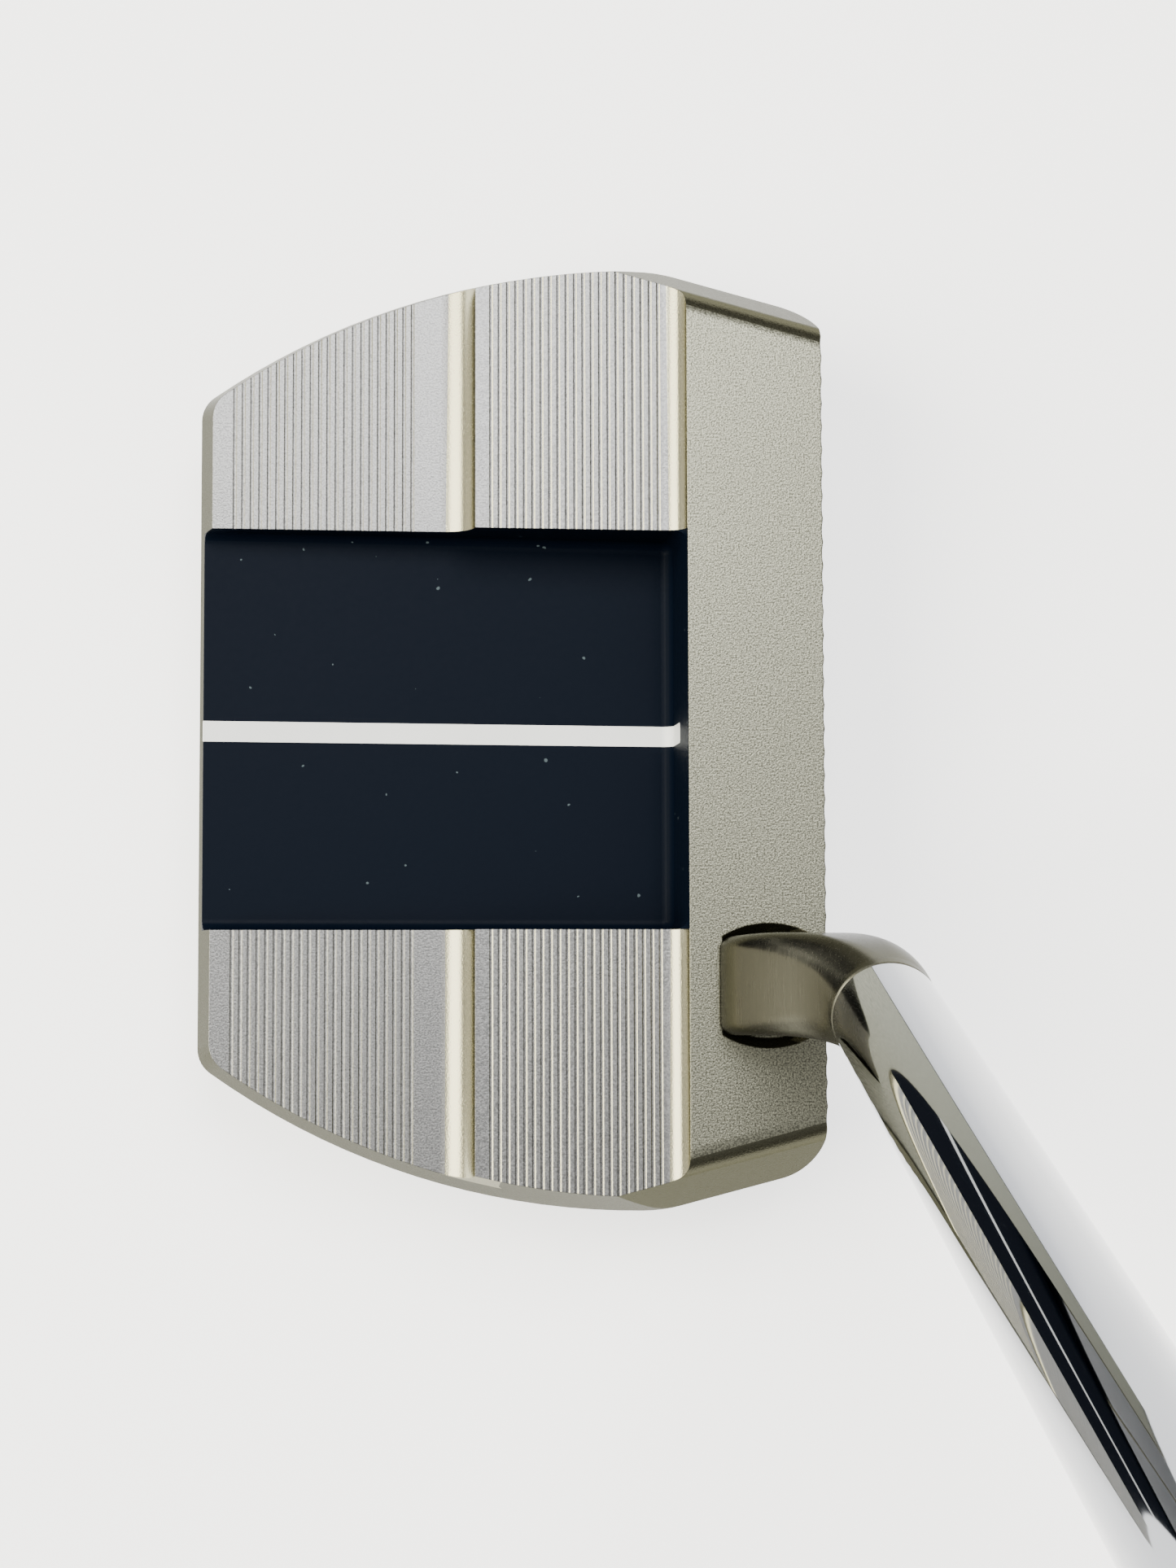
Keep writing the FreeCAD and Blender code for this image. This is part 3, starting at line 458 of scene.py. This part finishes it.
def dress(node: str, material: bpy.types.Material) -> None:
    """Give a fixed node its finish.

    Args:
        node: The node's name.
        material: The finish.
    """
    thing = bpy.data.objects[node]
    thing.data.materials.clear()
    thing.data.materials.append(material)
    log.info("dressed %s in %s", node, material.name)


@dataclass
class Head:
    """The head and everything fastened in it."""

    screws: tuple = ("toe_front", "toe_rear", "heel_front", "heel_rear")

    def dress(self) -> None:
        """Give the head's pieces their finishes."""
        dress("head_body", HeadFinish().material())
        dress("sight_line", Soft("white_fill", (0.78, 0.8, 0.8), 0.45, 2500, 0.02).material())
        neck = Metal("neck_steel", (0.12, 0.117, 0.09), 0.24, Texture.BRUSHED, 0.0006, 0.5, 0.06)
        dress("neck", neck.material())
        plate = Metal("plate_steel", (0.5, 0.5, 0.49), 0.32, Texture.BRUSHED, 0.006).material()
        dress("sole_plate", plate)
        dark = Metal("dark_screw", (0.1, 0.1, 0.105), 0.35, Texture.BLASTED, 0.004).material()
        for name in self.screws:
            dress(f"sole_screw_{name}", dark)
        turned = Metal("turned_steel", (0.42, 0.42, 0.42), 0.25, Texture.TURNED, 0.004).material()
        rubber = Soft("seal_rubber", (0.02, 0.02, 0.02), 0.6).material()
        for side in ("toe", "heel"):
            dress(f"{side}_weight", turned)
            dress(f"{side}_weight_ring", rubber)
        dress("sole_gasket", rubber)
        epoxy = Soft("epoxy", (0.12, 0.11, 0.09), 0.4, 800, 0.01).material()
        dress("neck_bond", epoxy)
        dress("shaft_bond", epoxy)


def deselect() -> None:
    """Leave edit mode and select nothing."""
    if bpy.context.mode != "OBJECT":
        bpy.ops.object.mode_set(mode="OBJECT")
    bpy.ops.object.select_all(action="DESELECT")


def select_faces(piece: bpy.types.Object, wanted: Callable[[Vector, Vector], bool]) -> None:
    """Open a piece in edit mode with the faces selected that pass a test.

    Args:
        piece: The piece.
        wanted: Test of a face's centre and normal.
    """
    if bpy.context.mode != "OBJECT":
        bpy.ops.object.mode_set(mode="OBJECT")
    bpy.context.view_layer.objects.active = piece
    bpy.ops.object.mode_set(mode="EDIT")
    bpy.ops.mesh.select_mode(type="FACE")
    bpy.ops.mesh.select_all(action="DESELECT")
    bpy.ops.object.mode_set(mode="OBJECT")
    for face in piece.data.polygons:
        face.select = wanted(face.center, face.normal)
    bpy.ops.object.mode_set(mode="EDIT")


def apply_modifier(piece: bpy.types.Object, kind: str, **settings: object) -> None:
    """Add a modifier to a piece and apply it.

    Args:
        piece: The piece.
        kind: The modifier's type.
        settings: Values for its properties.
    """
    deselect()
    piece.select_set(True)
    bpy.context.view_layer.objects.active = piece
    modifier = piece.modifiers.new(kind.title(), kind)
    for name, value in settings.items():
        setattr(modifier, name, value)
    bpy.ops.object.modifier_apply(modifier=modifier.name)


def finish_piece(piece: bpy.types.Object, material: bpy.types.Material, nodes: tuple,
                 angle: float = 35.0) -> None:
    """Smooth a piece, dress it and let it stand for fixed nodes.

    Args:
        piece: The piece.
        material: Its finish.
        nodes: The nodes that it replaces.
        angle: Edges sharper than this stay sharp.
    """
    deselect()
    piece.select_set(True)
    bpy.context.view_layer.objects.active = piece
    bpy.ops.object.transform_apply(location=True, rotation=True, scale=True)
    bpy.ops.object.mode_set(mode="EDIT")
    bpy.ops.mesh.select_all(action="SELECT")
    bpy.ops.mesh.remove_doubles(threshold=0.002 * MM)
    bpy.ops.mesh.normals_make_consistent(inside=False)
    bpy.ops.object.mode_set(mode="OBJECT")
    bpy.ops.object.shade_smooth_by_angle(angle=math.radians(angle))
    piece.data.materials.clear()
    piece.data.materials.append(material)
    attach(piece, BODY)
    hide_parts(*nodes)
    log.info("made %s with %d faces", piece.name, len(piece.data.polygons))


@dataclass
class Handle:
    """The shaft and the grip, on one leaning axis."""

    lie: float = 70.0
    shaft_x: float = 34.1
    ground_y: float = -11.8
    club_length: float = 863.6
    shaft_start: float = 54.3
    tip_radius: float = 5.4
    butt_radius: float = 7.5
    wall: float = 0.5
    rim_round: float = 0.14
    cap_thick: float = 3.0
    grip_length: float = 267.0
    skin_low: float = 11.4
    skin_high: float = 13.8
    grip_flat: float = 1.1
    grip_round: float = 1.2
    cap_round: float = 0.6
    cap_steps: tuple = ((0.8, 0.0), (0.97, 0.4), (0.12, 0.0), (1.0, 1.4))
    sides: int = 128

    def stand(self, piece: bpy.types.Object, along: float) -> None:
        """Move a piece that stands on the origin to the axis.

        Args:
            piece: The piece, built upright from its origin.
            along: Distance from the ground, in millimetres.
        """
        lean = math.radians(90 - self.lie)
        piece.rotation_euler = (lean, 0, 0)
        piece.location = Vector((self.shaft_x, self.ground_y - math.sin(lean) * along,
                                 math.cos(lean) * along)) * MM

    def cone(self, name: str, low: float, high: float, length: float) -> bpy.types.Object:
        """Add an upright cone that stands on the origin.

        Args:
            name: The piece's name.
            low: Radius at the bottom, in millimetres.
            high: Radius at the top.
            length: Its height.

        Returns:
            The cone.
        """
        deselect()
        bpy.ops.mesh.primitive_cone_add(vertices=self.sides, radius1=low * MM, radius2=high * MM,
                                        depth=length * MM, location=(0, 0, length * MM / 2))
        piece = bpy.context.object
        piece.name = name
        bpy.ops.object.transform_apply(location=True, rotation=False, scale=False)
        return piece

    def shaft(self) -> None:
        """Make the chromed shaft, with inset rings and rounded edges on both ends."""
        length = self.club_length - self.cap_thick - self.shaft_start
        piece = self.cone("chrome_shaft", self.tip_radius, self.butt_radius, length)
        select_faces(piece, lambda centre, normal: abs(normal.z) > FACING_UP)
        bpy.ops.mesh.inset(thickness=self.wall * MM, use_boundary=True)
        bpy.ops.mesh.inset(thickness=self.wall * MM / 2, use_boundary=True)
        bpy.ops.object.mode_set(mode="OBJECT")
        apply_modifier(piece, "BEVEL", width=self.rim_round * MM, segments=3, limit_method="ANGLE",
                       angle_limit=math.radians(60))
        self.stand(piece, self.shaft_start)
        finish_piece(piece, chrome(), ("shaft",), 30)

    def grip(self) -> None:
        """Make the padded grip with its thumb flat and soft ends."""
        length = self.grip_length - self.cap_thick
        piece = self.cone("padded_grip", self.skin_low, self.skin_high, length)
        lean = math.atan((self.skin_high - self.skin_low) / length)
        select_faces(piece, lambda centre, normal: True)
        bpy.ops.mesh.bisect(plane_co=(0, (self.skin_low - self.grip_flat) * MM, 0),
                            plane_no=(0, math.cos(lean), -math.sin(lean)), use_fill=True, clear_outer=True)
        bpy.ops.object.mode_set(mode="OBJECT")
        apply_modifier(piece, "BEVEL", width=self.grip_round * MM, segments=5, limit_method="ANGLE",
                       angle_limit=math.radians(25))
        self.stand(piece, self.club_length - self.grip_length)
        finish_piece(piece, grip_rubber(), ("grip_skin",), 40)

    def cap(self) -> None:
        """Make the grip's end cap with a soft edge and a vent."""
        piece = self.cone("end_cap", self.skin_high, self.skin_high, self.cap_thick)
        select_faces(piece, lambda centre, normal: True)
        bpy.ops.mesh.bisect(plane_co=(0, (self.skin_high - self.grip_flat) * MM, 0), plane_no=(0, 1, 0),
                            use_fill=True, clear_outer=True)
        select_faces(piece, lambda centre, normal: normal.z > FACING_UP)
        for scale, sink in self.cap_steps:
            bpy.ops.mesh.extrude_region_move(TRANSFORM_OT_translate={"value": (0, 0, -sink * MM)})
            bpy.ops.transform.resize(value=(scale, scale, 1), center_override=(0, 0, 0))
        bpy.ops.object.mode_set(mode="OBJECT")
        apply_modifier(piece, "BEVEL", width=self.cap_round * MM, segments=4, limit_method="ANGLE",
                       angle_limit=math.radians(50))
        self.stand(piece, self.club_length - self.cap_thick)
        finish_piece(piece, Soft("cap_rubber", (0.018, 0.019, 0.022), 0.5).material(), ("grip_end_cap",),
                     40)

    def build(self) -> None:
        """Make the shaft and grip and dress what lies inside them."""
        self.shaft()
        self.grip()
        self.cap()
        dress("grip_tape", Soft("tape", (0.6, 0.56, 0.44), 0.7, 3000, 0.03).material())
        dress("grip_core", Soft("foam", (0.05, 0.05, 0.05), 0.85, 1200, 0.2).material())


def chrome() -> bpy.types.Material:
    """Return mirror chrome with faint polishing marks along the tube.

    Returns:
        The material.
    """
    graph = Graph("chrome")
    haze = graph.noise(260, 3, (1, 0.1, 0.1))
    tone = graph.blend(haze, (0.25, 0.262, 0.29, 1), (0.29, 0.302, 0.33, 1))
    return graph.set(Base_Color=tone, Roughness=graph.between(haze, 0.02, 0.05), Metallic=1.0)


def grip_rubber() -> bpy.types.Material:
    """Return the grip's skin: dark, finely pebbled, with small dimples.

    Returns:
        The material.
    """
    graph = Graph("grip_skin")
    cell = graph.node("ShaderNodeTexVoronoi", {"Vector": graph.coords, "Scale": 420.0}).outputs["Distance"]
    pebble = graph.noise(2600, 3)
    height = graph.maths("ADD", graph.maths("MULTIPLY", cell, 0.6), pebble)
    broad = graph.noise(30, 3)
    tone = graph.blend(broad, (0.009, 0.01, 0.014, 1), (0.018, 0.02, 0.027, 1))
    return graph.set(Base_Color=tone, Roughness=graph.between(pebble, 0.5, 0.7), Specular_IOR_Level=0.25,
                     Normal=graph.bump(height, 0.25 * MM))


@dataclass
class Studio:
    """Floor, light and camera."""

    floor_half: float = 6.0
    floor_drop: float = 0.05
    focal_reach: float = 3600.0
    frame_height: float = 1927.0
    sensor: float = 36.0
    turns: tuple = (-4.291, -6.629, 0.352)
    place: tuple = (-27.56, -29.02, 330.39)
    horizon: tuple = (0.3, 0.29, 0.25)
    zenith: tuple = (1.0, 1.0, 1.0)
    sky_strength: float = 1.0
    sky_stops: tuple = (0.25, 0.95)
    floor_rough: float = 0.9
    floor_glow: float = 1.6

    def floor(self) -> None:
        """Lay a plain white floor."""
        deselect()
        bpy.ops.mesh.primitive_plane_add(size=self.floor_half * 2,
                                         location=(0, 0, -self.floor_drop * MM))
        plane = bpy.context.object
        plane.name = "floor"
        graph = Graph("floor_white")
        grain = graph.noise(3, 2)
        tone = graph.blend(grain, (0.9, 0.9, 0.9, 1), (0.92, 0.92, 0.92, 1))
        plane.data.materials.append(graph.set(Base_Color=tone, Roughness=self.floor_rough,
                                              Emission_Color=WHITE, Emission_Strength=self.floor_glow))

    def camera(self) -> None:
        """Set the camera above and behind the head, looking down."""
        data = bpy.data.cameras.new("camera")
        data.sensor_fit = "VERTICAL"
        data.sensor_height = self.sensor
        data.lens = self.focal_reach / self.frame_height * self.sensor
        camera = bpy.data.objects.new("camera", data)
        bpy.context.collection.objects.link(camera)
        down = Matrix(((1, 0, 0), (0, -1, 0), (0, 0, -1)))
        pitch, roll, yaw = (math.radians(angle) for angle in self.turns)
        view = Matrix.Rotation(yaw, 3, "Z") @ Matrix.Rotation(roll, 3, "Y") @ Matrix.Rotation(pitch, 3, "X")
        turn = ((view @ down).transposed() @ down).to_4x4()
        turn.translation = Vector(self.place) * MM
        camera.matrix_world = turn
        bpy.context.scene.camera = camera

    def lamp(self, name: str, place: tuple, size: float, power: float, color: tuple) -> None:
        """Add a square soft light that points at the head.

        Args:
            name: The light's name.
            place: Where it hangs, in metres.
            size: Its side, in metres.
            power: Its power, in watts.
            color: Its colour.
        """
        data = bpy.data.lights.new(name, "AREA")
        data.size = size
        data.energy = power
        data.color = color
        lamp = bpy.data.objects.new(name, data)
        lamp.location = place
        lamp.rotation_euler = (-Vector(place)).to_track_quat("-Z", "Y").to_euler()
        bpy.context.collection.objects.link(lamp)

    def light(self) -> None:
        """Light the scene softly from all round."""
        world = bpy.data.worlds.new("studio")
        world.use_nodes = True
        tree = world.node_tree
        back = tree.nodes["Background"]
        coords = tree.nodes.new("ShaderNodeTexCoord")
        split = tree.nodes.new("ShaderNodeSeparateXYZ")
        ramp = tree.nodes.new("ShaderNodeValToRGB")
        tree.links.new(coords.outputs["Generated"], split.inputs[0])
        tree.links.new(split.outputs["Z"], ramp.inputs[0])
        tree.links.new(ramp.outputs["Color"], back.inputs["Color"])
        stops = ramp.color_ramp.elements
        for stop, place, color in zip(stops, self.sky_stops, (self.horizon, self.zenith)):
            stop.position, stop.color = place, (*color, 1)
        back.inputs["Strength"].default_value = self.sky_strength
        bpy.context.scene.world = world
        self.lamp("overhead", (0.02, 0.34, 0.85), 0.4, 7, (1, 1, 1))
        self.lamp("rear", (-0.95, 0.0, 0.85), 1.1, 42, (1, 0.95, 0.8))

    def build(self) -> None:
        """Set the stage."""
        self.floor()
        self.camera()
        self.light()


def main() -> None:
    """Build the looks around the fixed frame."""
    logging.basicConfig(level=logging.INFO, format="%(message)s")
    Head().dress()
    Handle().build()
    Studio().build()


if __name__ == "__main__":
    main()
